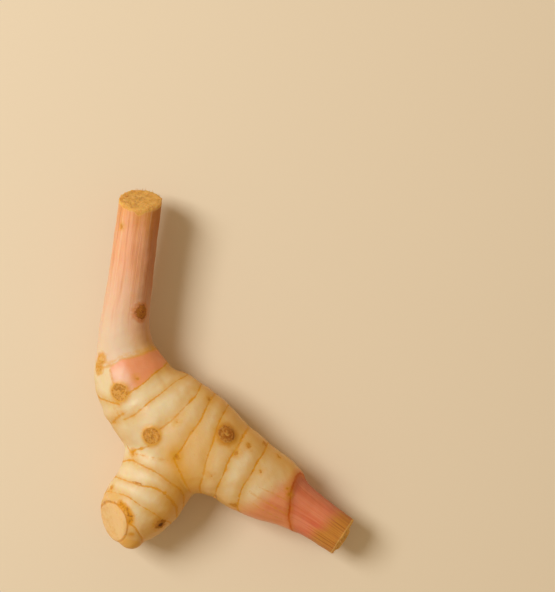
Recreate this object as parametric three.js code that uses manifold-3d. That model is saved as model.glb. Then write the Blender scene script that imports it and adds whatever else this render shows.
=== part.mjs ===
// A fresh galangal rhizome, one living piece and so one solid: a thick body that carries the cut base
// of a leafy stem at one end, forks into a short broken stub, and tapers through an arm into the cut
// base of a young pink shoot. Millimetres, +Z up. It lies on a level surface at z = 0, with the origin
// under its middle. The stem points along +Y and the shoot towards +X, -Y.

import * as THREE from 'three';
import { mergeVertices } from 'three/addons/utils/BufferGeometryUtils.js';
import Module from 'manifold-3d';

const wasm = await Module();
wasm.setup();

// ---- Driving dimensions -------------------------------------------------------------------------

const SIDES = 32; // facets round a limb
const ROUND_SIDES = 18; // facets round a scar, the bud, the pit and the shoot's core
const BALL_ROWS = 12; // rows of facets from pole to pole of a ball
const AXIS_STEPS = 300; // samples along a limb's axis
const RING_DEPTH = 0.3; // how far a leaf-scar ring cuts in
const RING_SHOULDER = 0.1; // how far the skin stands up beside a ring
const SWELL = 0.4; // how far the skin swells between two rings
const FORK_REACH = 7; // how far the skin rounds into the fork on either side of it
const FORK_FILL = 1.75; // how far it fills the fork's crease
const CUTTER = 240; // side of the blocks that make the cuts

// From one ring to the next: shares of the way, and how far the skin lies above its section there.
const RINGED_STRETCH = [
  [0, -RING_DEPTH],
  [0.12, RING_SHOULDER],
  [0.36, SWELL],
  [0.64, SWELL],
  [0.88, RING_SHOULDER],
];
// The same along a limb without rings.
const PLAIN_STRETCH = [0, 0.14, 0.28, 0.42, 0.57, 0.71, 0.85].map((share) => [share, 0]);

// The rows that close a limb's end, from the pole to the mouth of the dome, as shares of its depth.
const DOME_ROWS = [1, 0.93, 0.78, 0.55, 0.3];

// A limb is a run of oval sections: centre x, y, z, half the width, half the height.
// A ring crosses the axis so far along it, and leans forward by `left` and `top` on those sides.
// A dome is the length over which an end closes.
const LIMBS = {
  stem: {
    sections: [
      [-32.7, 82, 21.5, 8.9, 8.8],
      [-36.7, 52.5, 20, 9.2, 9.1],
      [-39.3, 32.5, 19, 9.6, 9.6],
      [-41, 22, 18, 10.2, 10.2],
      [-41.4, 10.5, 17, 12, 11.5],
      [-40.5, -1, 16.3, 13, 12.8],
    ],
    startDome: 4,
    endDome: 9,
    rings: [],
  },
  body: {
    sections: [
      [-41, 11.5, 16.6, 12.2, 11.7],
      [-40.2, 6.5, 16.4, 13.6, 13],
      [-38.9, -0.5, 16.3, 15.6, 14.6],
      [-33.2, -11.7, 16.4, 17.8, 16.2],
      [-21.8, -21.5, 17.4, 20.4, 17],
      [-8.6, -31.3, 17.4, 20, 17],
      [2.6, -38.1, 16.8, 16.6, 16.4],
      [13.4, -45.8, 15.6, 15.5, 15.4],
      [22.4, -51, 15, 13.9, 13.7],
      [30.5, -56.5, 14.5, 10.9, 10.7],
      [35.5, -60, 14.3, 9.9, 9.8],
      [41, -63.8, 14, 9.4, 9.3],
    ],
    startDome: 5,
    endDome: 0,
    collar: 1.2, // the last sheath ends in a collar of this length round the shoot
    rings: [
      { along: 17.5, left: 3, top: 2 },
      { along: 28.5, left: -4.5, top: 0.5 },
      { along: 38, left: -2.5, top: 2 },
      { along: 49.5, left: 1.5, top: 0 },
      { along: 61.5, left: 5, top: -2 },
      { along: 70.5, left: 2, top: -2 },
      { along: 82, left: 3, top: -4 },
      { along: 104.5, left: 6, top: -5.5 },
    ],
  },
  shoot: {
    sections: [
      [20, -50, 15.2, 12.6, 12.4],
      [26, -53.8, 14.8, 11.6, 11.4],
      [31.5, -57.5, 14.4, 10, 10],
      [40, -63.2, 14, 8.9, 8.9],
      [57, -75.3, 13.3, 8.2, 8.2],
    ],
    startDome: 8,
    endDome: 2,
    rings: [],
  },
  stub: {
    sections: [
      [-24.8, -29.5, 16.5, 14, 13.5],
      [-26, -36.3, 16.3, 14.7, 14.5],
      [-29, -48, 16, 15.6, 15.3],
      [-35.6, -57, 15.3, 15, 15.1],
      [-41.4, -64.6, 15.8, 13.1, 13.8],
      [-45.8, -71.4, 16.5, 12, 12.5],
    ],
    startDome: 9,
    endDome: 12,
    rings: [
      { along: 17.8, left: -4.6, top: -6.5 },
      { along: 26.5, left: 1.6, top: -8.2 },
      { along: 31.5, left: 3.4, top: -5.6 },
    ],
  },
};

// Corky scars where roots were trimmed off, by limb, way along it, angle round it from its left side
// over the top, radius, and height above the skin. The tallest is a root's stump under the body.
const ROOT_SCARS = [
  { limb: 'body', along: 18, angle: 70, radius: 3.5, height: 0.5 },
  { limb: 'body', along: 38, angle: 68, radius: 3.5, height: 0.5 },
  { limb: 'body', along: 62, angle: 124, radius: 3.6, height: 0.7 },
  { limb: 'body', along: 6.6, angle: 39, radius: 2.8, height: 0.3 },
  { limb: 'stem', along: 56, angle: 136, radius: 2.6, height: 0.3 },
  { limb: 'body', along: 33, angle: 196, radius: 3.2, height: 0.5 },
  { limb: 'body', along: 57, angle: 218, radius: 3.4, height: 0.6 },
  { limb: 'body', along: 26, angle: -52, radius: 3.2, height: 0.5 },
  { limb: 'body', along: 76, angle: -45, radius: 2.8, height: 0.5 },
  { limb: 'stub', along: 29, angle: 212, radius: 3, height: 0.5 },
  { limb: 'body', along: 44, angle: -112, radius: 3.4, height: 2 },
];

// A scar's section, as shares of its radius and its height: a wall, a rounded rim and a dished middle.
const SCAR_ROOT = { reach: 0.8, depth: 3 }; // its foot under the skin
const SCAR_WALL_DEPTH = 0.3; // its wall starts this far under the skin
const SCAR_RIM = [
  [0.95, 0.7],
  [0.78, 1],
  [0.4, 0.6],
  [0, 0.5],
];

// A small pit left by a pulled root on the stub's flank. Its middle is `raised` off the skin.
const ROOT_PIT = { limb: 'stub', along: 28.5, angle: 141, radius: 2.1, raised: 0.4 };

// A dormant bud that swells beside the stub's broken face.
const BUD = { centre: [-38.2, -68.7, 18.8], radii: [5.6, 6, 6.4] };

// Cuts take everything beyond a point in a direction. The last is the level surface below.
const CUTS = {
  stemTop: { point: [-34.6, 71.6, 21], towards: [0.1, 0.87, 0.48] },
  shootEnd: { point: [51.2, -69.5, 14], towards: [0.83, -0.54, 0.12] },
  stubFace: { point: [-47, -63.8, 19], towards: [-0.79, -0.26, 0.55] },
  underside: { point: [0, 0, 0], towards: [0, 0, -1] },
};

// The shoot's inner leaves stand a little proud of its cut sheath, off to one side of the cut. They
// reach `root` below it, and end in a rounded edge and a slightly domed top.
const SHOOT_CORE = {
  radius: 5.2,
  proud: 1.4,
  aside: [-1.3, -1.9, -0.6],
  root: 6,
  edge: { reach: 0.85, drop: 0.7 },
  dome: 0.3,
};

// ---- Limbs --------------------------------------------------------------------------------------

/** A limb's smooth axis and oval section, measured by the distance along it. */
class Limb {
  constructor(plan) {
    this.plan = plan;
    const centres = plan.sections.map(([x, y, z]) => new THREE.Vector3(x, y, z));
    const halves = plan.sections.map(([, , , wide, high]) => new THREE.Vector3(wide, high, 0));
    this.axis = new THREE.CatmullRomCurve3(centres, false, 'catmullrom', 0.5);
    this.half = new THREE.CatmullRomCurve3(halves, false, 'catmullrom', 0.5);
    this.sampleAxis();
  }

  /** Walks the axis once and keeps each sample's place, directions, half sizes and distance. */
  sampleAxis() {
    const vertical = new THREE.Vector3(0, 0, 1);
    this.samples = [];
    for (let step = 0; step <= AXIS_STEPS; step++) {
      const t = step / AXIS_STEPS;
      const centre = this.axis.getPoint(t);
      const forward = this.axis.getTangent(t);
      const left = forward.clone().cross(vertical).normalize();
      const up = left.clone().cross(forward);
      const { x: wide, y: high } = this.half.getPoint(t);
      const last = this.samples.at(-1);
      const along = last ? last.along + last.centre.distanceTo(centre) : 0;
      this.samples.push({ along, centre, left, up, wide, high });
    }
    this.length = this.samples.at(-1).along;
  }

  /** The section at a distance along the axis. */
  section(along) {
    const next = this.samples.findIndex((sample) => sample.along > along);
    if (next === 0) return this.samples[0];
    if (next < 0) return this.samples.at(-1);
    const [from, to] = [this.samples[next - 1], this.samples[next]];
    const t = (along - from.along) / (to.along - from.along);
    return {
      centre: from.centre.clone().lerp(to.centre, t),
      left: from.left.clone().lerp(to.left, t).normalize(),
      up: from.up.clone().lerp(to.up, t).normalize(),
      wide: THREE.MathUtils.lerp(from.wide, to.wide, t),
      high: THREE.MathUtils.lerp(from.high, to.high, t),
    };
  }

  /** How full the section is: 1 along the limb, and down to 0 over the domes at its ends. */
  fullness(along) {
    const { startDome, endDome } = this.plan;
    const into = Math.max(domeDepth(along, startDome), domeDepth(this.length - along, endDome));
    return Math.sqrt(1 - into * into);
  }

  /** A point at an angle round the axis, on the section scaled by `full` and raised by `lift`. */
  point(along, angle, full, lift) {
    const { centre, left, up, wide, high } = this.section(along);
    return centre
      .clone()
      .addScaledVector(left, Math.cos(angle) * (wide + lift) * full)
      .addScaledVector(up, Math.sin(angle) * (high + lift) * full);
  }

  /** The skin's outward direction at an angle round the axis. */
  outward(along, angle) {
    const { left, up, wide, high } = this.section(along);
    return new THREE.Vector3()
      .addScaledVector(left, Math.cos(angle) / wide)
      .addScaledVector(up, Math.sin(angle) / high)
      .normalize();
  }

  /** Roughly how far a point lies outside the limb's skin, below zero when it is inside. */
  distance(point) {
    let nearest = this.samples[0];
    for (const sample of this.samples) {
      if (sample.centre.distanceToSquared(point) < nearest.centre.distanceToSquared(point)) nearest = sample;
    }
    const offset = point.clone().sub(nearest.centre);
    const angle = Math.atan2(offset.dot(nearest.up) / nearest.high, offset.dot(nearest.left) / nearest.wide);
    const reach = Math.hypot(nearest.wide * Math.cos(angle), nearest.high * Math.sin(angle));
    return offset.length() - reach * this.fullness(nearest.along);
  }
}

/** How deep in a dome of some length a place is: 1 at its pole, and 0 past its mouth. */
function domeDepth(fromPole, length) {
  return length > 0 ? Math.max(1 - fromPole / length, 0) : 0;
}

const limbs = {};
for (const [name, plan] of Object.entries(LIMBS)) limbs[name] = new Limb(plan);

/** A row of the skin that closes a dome: `depth` is 0 at the dome's mouth and 1 at its pole. */
function domeRow(mouth, pole, depth) {
  return {
    along: THREE.MathUtils.lerp(mouth.along, pole, depth),
    left: mouth.left,
    top: mouth.top,
    full: Math.sqrt(1 - depth * depth),
    lift: 0,
  };
}

/** The rows of a limb's skin from one pole to the other, closer together at its rings. */
function skinRows(limb) {
  const { startDome, endDome, collar, rings } = limb.plan;
  const plain = { left: 0, top: 0 };
  const first = { along: startDome, ...plain };
  const last = collar ? rings.at(-1) : { along: limb.length - endDome, ...plain };
  const lastPole = collar ? last.along + collar : limb.length;
  const marks = collar ? [first, ...rings] : [first, ...rings, last];
  const stretch = rings.length > 0 ? RINGED_STRETCH : PLAIN_STRETCH;

  const rows = DOME_ROWS.map((depth) => domeRow(first, 0, depth));
  marks.slice(1).forEach((mark, index) => {
    const from = marks[index];
    for (const [t, lift] of stretch) {
      rows.push({
        along: THREE.MathUtils.lerp(from.along, mark.along, t),
        left: THREE.MathUtils.lerp(from.left, mark.left, t),
        top: THREE.MathUtils.lerp(from.top, mark.top, t),
        full: 1,
        lift: from === first && t === 0 ? 0 : lift,
      });
    }
  });
  rows.push({ ...last, full: 1, lift: 0 });
  rows.push(...DOME_ROWS.toReversed().map((depth) => domeRow(last, lastPole, depth)));
  return rows;
}

/** A closed geometry as a solid that can be joined and cut. */
function toSolid(geometry) {
  const bare = geometry.clone();
  bare.deleteAttribute('normal');
  bare.deleteAttribute('uv');
  const merged = mergeVertices(bare);
  return new wasm.Manifold(
    new wasm.Mesh({
      numProp: 3,
      vertProperties: new Float32Array(merged.attributes.position.array),
      triVerts: new Uint32Array(merged.index.array),
    }),
  );
}

/** How near a point is to the fork with another limb: 1 in its crease, and 0 beyond its reach. */
function forkNearness(point, other) {
  if (!other) return 0;
  return Math.max(1 - Math.abs(other.distance(point)) / FORK_REACH, 0);
}

/** A sphere drawn out along a limb, its rows laid on the limb's rows. */
function limbSolid(limb, forkedWith) {
  const rows = skinRows(limb);
  const skin = new THREE.SphereGeometry(1, SIDES, rows.length - 1);
  const place = skin.attributes.position;
  for (let index = 0; index < place.count; index++) {
    const row = rows[Math.floor(index / (SIDES + 1))];
    const angle = ((index % (SIDES + 1)) % SIDES) * ((2 * Math.PI) / SIDES);
    const lean = row.full * (row.left * Math.cos(angle) + row.top * Math.sin(angle));
    const near = forkNearness(limb.point(row.along + lean, angle, row.full, row.lift), forkedWith);
    const lift = row.lift * (1 - near) + FORK_FILL * near * near;
    const point = limb.point(row.along + lean, angle, row.full, lift);
    place.setXYZ(index, point.x, point.y, point.z);
  }
  return toSolid(skin);
}

// ---- Scars, bud, core and cuts ------------------------------------------------------------------

/** Turns a geometry made along +Y to a direction, and moves it to a point. */
function placeAlong(geometry, direction, point) {
  const turn = new THREE.Quaternion().setFromUnitVectors(new THREE.Vector3(0, 1, 0), direction);
  return geometry.applyQuaternion(turn).translate(point.x, point.y, point.z);
}

/** The place and outward direction of a mark on a limb's skin. */
function markPlace({ limb: name, along, angle }) {
  const limb = limbs[name];
  const turn = THREE.MathUtils.degToRad(angle);
  return { point: limb.point(along, turn, 1, SWELL), direction: limb.outward(along, turn) };
}

/** A half section turned round its axis, along a direction from a point. */
function turnedSolid(profile, direction, point) {
  const outline = profile.map(([radius, height]) => new THREE.Vector2(radius, height));
  return toSolid(placeAlong(new THREE.LatheGeometry(outline, ROUND_SIDES), direction, point));
}

/** A ball round a point. */
function ballSolid([x, y, z], radii) {
  const ball = new THREE.SphereGeometry(1, ROUND_SIDES, BALL_ROWS);
  return toSolid(ball.scale(...radii).translate(x, y, z));
}

/** A low corky button with a rounded rim and a dished middle. */
function scarSolid(scar) {
  const { radius, height } = scar;
  const profile = [
    [0, -SCAR_ROOT.depth],
    [SCAR_ROOT.reach * radius, -SCAR_ROOT.depth],
    [radius, -SCAR_WALL_DEPTH],
    ...SCAR_RIM.map(([reach, rise]) => [reach * radius, rise * height]),
  ];
  const { point, direction } = markPlace(scar);
  return turnedSolid(profile, direction, point);
}

/** The ball that hollows a root pit. */
function pitSolid(pit) {
  const { point, direction } = markPlace(pit);
  const centre = point.addScaledVector(direction, pit.raised);
  return ballSolid(centre.toArray(), [pit.radius, pit.radius, pit.radius]);
}

/** The shoot's inner leaves, which stand out of the end of its sheath. */
function shootCoreSolid({ radius, proud, aside, root, edge, dome }) {
  const direction = new THREE.Vector3(...CUTS.shootEnd.towards).normalize();
  const base = new THREE.Vector3(...CUTS.shootEnd.point).addScaledVector(direction, -root);
  base.add(new THREE.Vector3(...aside));
  const top = root + proud;
  const profile = [
    [0, 0],
    [radius, 0],
    [radius, top - edge.drop],
    [edge.reach * radius, top],
    [0, top + dome],
  ];
  return turnedSolid(profile, direction, base);
}

/** The block that takes everything beyond a cut. */
function cutterSolid({ point, towards }) {
  const direction = new THREE.Vector3(...towards).normalize();
  const block = new THREE.BoxGeometry(CUTTER, CUTTER, CUTTER);
  block.translate(0, CUTTER / 2, 0);
  return toSolid(placeAlong(block, direction, new THREE.Vector3(...point)));
}

// ---- The rhizome --------------------------------------------------------------------------------

/** The whole rhizome as one solid. */
function rhizomeSolid() {
  const stem = limbSolid(limbs.stem).subtract(cutterSolid(CUTS.stemTop));
  const shoot = limbSolid(limbs.shoot).subtract(cutterSolid(CUTS.shootEnd));
  const body = limbSolid(limbs.body, limbs.stub);
  const bud = ballSolid(BUD.centre, BUD.radii);
  const stub = limbSolid(limbs.stub, limbs.body).add(bud).subtract(cutterSolid(CUTS.stubFace));

  let whole = body.add(stub).add(stem).add(shoot).add(shootCoreSolid(SHOOT_CORE));
  for (const scar of ROOT_SCARS) whole = whole.add(scarSolid(scar));
  return whole.subtract(pitSolid(ROOT_PIT)).subtract(cutterSolid(CUTS.underside));
}

/** A solid's faces as a geometry. */
function toGeometry(solid) {
  const { vertProperties, triVerts } = solid.getMesh();
  const geometry = new THREE.BufferGeometry();
  geometry.setAttribute('position', new THREE.BufferAttribute(vertProperties, 3));
  geometry.setIndex(new THREE.BufferAttribute(triVerts, 1));
  geometry.computeVertexNormals();
  return geometry;
}

const SKIN_COLOUR = new THREE.Color(0.86, 0.75, 0.55);
const SKIN_ROUGHNESS = 0.5;

const rhizomeSkin = new THREE.MeshStandardMaterial({
  name: 'rhizome_skin',
  color: SKIN_COLOUR,
  roughness: SKIN_ROUGHNESS,
  metalness: 0,
});

const rhizome = new THREE.Mesh(toGeometry(rhizomeSolid()), rhizomeSkin);
rhizome.name = 'galangal_rhizome';

const galangalRoot = new THREE.Group();
galangalRoot.name = 'galangal_root';
galangalRoot.add(rhizome);

export default galangalRoot;
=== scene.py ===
"""A fresh galangal rhizome: its fine skin, scale scraps and fibres, in a plain studio."""

import functools
import logging
import math
import random
from dataclasses import dataclass
from enum import Enum
from typing import Any, Callable, Iterable, Mapping, Sequence, Union

import bmesh
import bpy
import numpy as np
from mathutils import Matrix, Vector, noise
from mathutils.bvhtree import BVHTree


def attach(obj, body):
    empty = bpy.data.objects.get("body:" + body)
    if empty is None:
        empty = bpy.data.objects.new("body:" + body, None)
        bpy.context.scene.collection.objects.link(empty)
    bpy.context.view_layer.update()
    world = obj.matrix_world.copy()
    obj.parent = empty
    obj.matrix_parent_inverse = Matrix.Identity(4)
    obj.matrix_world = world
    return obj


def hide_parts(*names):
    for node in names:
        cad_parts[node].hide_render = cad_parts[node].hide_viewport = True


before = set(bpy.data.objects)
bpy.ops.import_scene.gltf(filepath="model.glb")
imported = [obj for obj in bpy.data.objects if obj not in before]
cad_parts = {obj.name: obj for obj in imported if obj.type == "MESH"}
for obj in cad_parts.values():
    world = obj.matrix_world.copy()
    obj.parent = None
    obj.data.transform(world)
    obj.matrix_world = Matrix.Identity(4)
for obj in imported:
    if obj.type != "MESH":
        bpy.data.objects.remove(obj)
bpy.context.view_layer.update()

log = logging.getLogger("galangal")

# Sizes are in millimetres and angles in degrees. MM turns a size into scene units.
MM = 0.001
NODE = "galangal_rhizome"
BODY = "root"


# ---- Shader maths ----


def term_maths(operation: str, swapped: bool = False) -> "Callable[[Value, Number], Value]":
    """A method of Value that works out two numbers.

    Args:
        operation: What its Math node does.
        swapped: Whether the other number comes first.

    Returns:
        The method.
    """

    def method(self: "Value", other: "Number") -> "Value":
        """The result of the node."""
        return self.graph.maths(operation, *((other, self) if swapped else (self, other)))

    return method


class Value:
    """One number of a shader, which adds Math nodes as it is worked with."""

    def __init__(self, graph: "Graph", socket: bpy.types.NodeSocket) -> None:
        """Wraps a socket of a graph."""
        self.graph = graph
        self.socket = socket

    __add__, __radd__ = term_maths("ADD"), term_maths("ADD", True)
    __sub__, __rsub__ = term_maths("SUBTRACT"), term_maths("SUBTRACT", True)
    __mul__, __rmul__ = term_maths("MULTIPLY"), term_maths("MULTIPLY", True)
    least, most = term_maths("MINIMUM"), term_maths("MAXIMUM")

    def __abs__(self) -> "Value":
        """The size of self without its sign."""
        return self.graph.maths("ABSOLUTE", self)

    def ramp(self, start: float, end: float) -> "Value":
        """0 before start and 1 past end, with a smooth rise, or a fall where end is below start.

        Args:
            start: The number at which the result is 0.
            end: The number at which the result is 1.

        Returns:
            The eased number from 0 to 1.
        """
        node = self.graph.add(
            "ShaderNodeMapRange",
            {"interpolation_type": "SMOOTHSTEP"},
            {"Value": self, "From Min": start, "From Max": end},
        )
        return Value(self.graph, node.outputs["Result"])


Number = Union[Value, float]
Field = Union[Value, np.ndarray]


def lower(a: Field, b: Field) -> Field:
    """The smaller of two shader numbers or two arrays."""
    return a.least(b) if isinstance(a, Value) else np.minimum(a, b)


def nearest_of(gaps: Sequence[Field]) -> Field:
    """The smallest of several shader numbers or arrays."""
    return functools.reduce(lower, gaps)


class Graph:
    """The node tree of one finish."""

    def __init__(self, name: str) -> None:
        """Makes an empty material of that name.

        Args:
            name: The material's name.
        """
        self.material = bpy.data.materials.new(name)
        self.material.use_nodes = True
        self.tree = self.material.node_tree
        self.tree.nodes.clear()

    def add(
        self, kind: str, settings: Mapping[str, Any], sockets: Mapping[Union[str, int], Any]
    ) -> bpy.types.Node:
        """Adds a node.

        Args:
            kind: The node's type.
            settings: Its settings, which are set first.
            sockets: A number, a colour, a Value or another node's output for each socket.

        Returns:
            The new node.
        """
        node = self.tree.nodes.new(kind)
        for key, setting in settings.items():
            setattr(node, key, setting)
        for key, given in sockets.items():
            source = given.socket if isinstance(given, Value) else given
            if isinstance(source, bpy.types.NodeSocket):
                self.tree.links.new(source, node.inputs[key])
            else:
                node.inputs[key].default_value = source
        return node

    def maths(self, operation: str, *terms: Number) -> Value:
        """The result of a Math node on one, two or three terms."""
        node = self.add("ShaderNodeMath", {"operation": operation}, dict(enumerate(terms)))
        return Value(self, node.outputs[0])

    def point(self) -> bpy.types.NodeSocket:
        """The place on the piece, in millimetres.

        Returns:
            The place, as a vector.
        """
        source = self.add("ShaderNodeTexCoord", {}, {}).outputs["Object"]
        sockets = {0: source, "Scale": 1 / MM}
        return self.add("ShaderNodeVectorMath", {"operation": "SCALE"}, sockets).outputs["Vector"]

    def attribute(self, name: str) -> tuple[Value, Value, Value]:
        """The three numbers of a piece's vector attribute.

        Args:
            name: The attribute's name.

        Returns:
            The three numbers.
        """
        source = self.add("ShaderNodeAttribute", {"attribute_name": name}, {}).outputs["Vector"]
        split = self.add("ShaderNodeSeparateXYZ", {}, {0: source})
        return tuple(Value(self, split.outputs[axis]) for axis in range(3))

    def vector(self, x: Number, y: Number, z: Number) -> bpy.types.NodeSocket:
        """Three numbers as a vector."""
        return self.add("ShaderNodeCombineXYZ", {}, {0: x, 1: y, 2: z}).outputs[0]

    def distance(self, a: bpy.types.NodeSocket, b: Sequence[float]) -> Value:
        """How far a vector is from a fixed point.

        Args:
            a: The vector.
            b: The point.

        Returns:
            The distance.
        """
        node = self.add("ShaderNodeVectorMath", {"operation": "DISTANCE"}, {0: a, 1: tuple(b)})
        return Value(self, node.outputs["Value"])

    def noise(
        self, place: bpy.types.NodeSocket, size: float, detail: float, rough: float = 0.5
    ) -> Value:
        """Soft noise about 0.5.

        Args:
            place: Where it is read.
            size: The size of its blotches, in the units of place.
            detail: How many finer layers it has.
            rough: How strong those are.

        Returns:
            The noise.
        """
        sockets = {"Vector": place, "Scale": 1.0 / size, "Detail": detail, "Roughness": rough}
        return Value(self, self.add("ShaderNodeTexNoise", {}, sockets).outputs["Fac"])

    def cells(self, place: bpy.types.NodeSocket, size: float) -> Value:
        """The distance to the nearest of scattered points."""
        source = self.add("ShaderNodeTexVoronoi", {}, {"Vector": place, "Scale": 1.0 / size})
        return Value(self, source.outputs["Distance"])

    def mix(self, share: Number, under: Any, over: Any) -> bpy.types.NodeSocket:
        """Lays one colour over another.

        Args:
            share: How much of it shows, from 0 to 1.
            under: The colour below, a Tone or a socket.
            over: The colour laid on, a Tone or a socket.

        Returns:
            The mixed colour.
        """
        under, over = (c.linear if isinstance(c, Tone) else c for c in (under, over))
        settings = {"data_type": "RGBA", "clamp_factor": True}
        return self.add("ShaderNodeMix", settings, {0: share, 6: under, 7: over}).outputs[2]

    def finish(self, principled: Mapping[str, Any]) -> bpy.types.Material:
        """Closes the tree with a Principled shader that has these sockets.

        Args:
            principled: What each of its sockets takes.

        Returns:
            The finished material.
        """
        shader = self.add("ShaderNodeBsdfPrincipled", {}, principled)
        self.add("ShaderNodeOutputMaterial", {}, {"Surface": shader.outputs[0]})
        return self.material


@dataclass(frozen=True)
class Tone:
    """A colour written as it looks on a screen, from 0 to 255."""

    red: int
    green: int
    blue: int

    @property
    def linear(self) -> tuple[float, float, float, float]:
        """The colour as shaders take it.

        Returns:
            Red, green, blue and opacity, from 0 to 1.
        """

        def straight(level: int) -> float:
            """One channel without its screen curve."""
            share = level / 255
            return share / 12.92 if share <= 0.04045 else ((share + 0.055) / 1.055) ** 2.4

        return (straight(self.red), straight(self.green), straight(self.blue), 1.0)


# ---- The rhizome's plan ----


@dataclass(frozen=True)
class Place:
    """Where points lie on a limb: how far along it, and the angle round it from its left side.

    The numbers are arrays for a mesh and shader values for a finish.
    """

    along: Field
    cosine: Field
    sine: Field

    def waves(self) -> tuple[Field, Field, Field, Field]:
        """The cosine and sine of three times the angle, and those of eight times it.

        Returns:
            The four waves.
        """
        cosine, sine = self.cosine, self.sine
        cosine2, sine2 = doubled(cosine, sine)
        cosine3, sine3 = cosine2 * cosine - sine2 * sine, sine2 * cosine + cosine2 * sine
        cosine8, sine8 = doubled(*doubled(cosine2, sine2))
        return cosine3, sine3, cosine8, sine8

    def facing(self, angle: float) -> Field:
        """The cosine of how far round the limb a place is from an angle."""
        turn = math.radians(angle)
        return self.cosine * math.cos(turn) + self.sine * math.sin(turn)

    def off_angle(self, angle: float) -> Field:
        """The sine of how far round the limb a place is from an angle."""
        turn = math.radians(angle)
        return self.sine * math.cos(turn) - self.cosine * math.sin(turn)


def doubled(cosine: Field, sine: Field) -> tuple[Field, Field]:
    """The cosine and sine of twice an angle."""
    return cosine * cosine - sine * sine, cosine * sine * 2.0


def shortfall(a: Field, b: float) -> Field:
    """How far a is below b, or 0 where it isn't."""
    gap = b - a
    return gap.most(0.0) if isinstance(gap, Value) else np.maximum(gap, 0.0)


@dataclass(frozen=True)
class Ring:
    """A leaf scar round a limb, or a piece of one.

    It crosses the axis at `along` and leans forward by `left` and `top` on those sides. A faint
    ring has a thinner line. A piece runs to `half` degrees on both sides of the angle `middle`.
    """

    along: float
    left: float
    top: float
    faint: float = 0.0
    middle: float = 0.0
    half: float = 180.0

    WANDER = 0.45  # how far its line strays in long waves
    SHIVER = 0.2  # and in short ones
    FADE = 20.0  # how fast a line thins past the ends of its piece

    def gap(self, place: Place, waves: tuple[Field, Field, Field, Field]) -> Field:
        """How far past the ring's wandering line a place is, in millimetres.

        Args:
            place: The places on the ring's limb.
            waves: What place.waves() gives.

        Returns:
            The distance, below zero before the ring.
        """
        turn = self.along
        gap = place.along - self.along - place.cosine * self.left - place.sine * self.top
        strays = (
            self.WANDER * math.cos(turn),
            self.WANDER * math.sin(turn),
            self.SHIVER * math.cos(3 * turn),
            self.SHIVER * math.sin(3 * turn),
        )
        for wave, stray in zip(waves, strays):
            gap = gap - wave * stray
        return gap

    def distance(self, place: Place, waves: tuple[Field, Field, Field, Field]) -> Field:
        """How far a place is from the line, and more for a faint ring or past a piece's ends.

        Args:
            place: The places on the ring's limb.
            waves: What place.waves() gives.

        Returns:
            The distance in millimetres.
        """
        away = abs(self.gap(place, waves)) + self.faint
        if self.half >= 180:
            return away
        past_ends = shortfall(place.facing(self.middle), math.cos(math.radians(self.half)))
        return away + past_ends * self.FADE


@dataclass(frozen=True)
class Vein:
    """A thin line that runs along a limb, from `start` to `end`, and turns round it on its way."""

    start: float
    end: float
    angle: float
    turn: float = 0.0
    faint: float = 0.0

    def distance(self, place: Place, radius: float) -> Field:
        """How far a place is from the vein.

        Args:
            place: The places on its limb.
            radius: The limb's radius there.

        Returns:
            The distance in millimetres.
        """
        slope = radius * math.radians(self.turn) / (self.end - self.start)
        middle = (self.start + self.end) / 2
        across = place.off_angle(self.angle + self.turn / 2) * radius
        across = across - (place.along - middle) * slope
        away = abs(across) + self.faint + shortfall(place.along, self.start)
        away = away + shortfall(0.0 - place.along, -self.end)
        return away + shortfall(place.facing(self.angle), 0.5) * Ring.FADE


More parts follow.
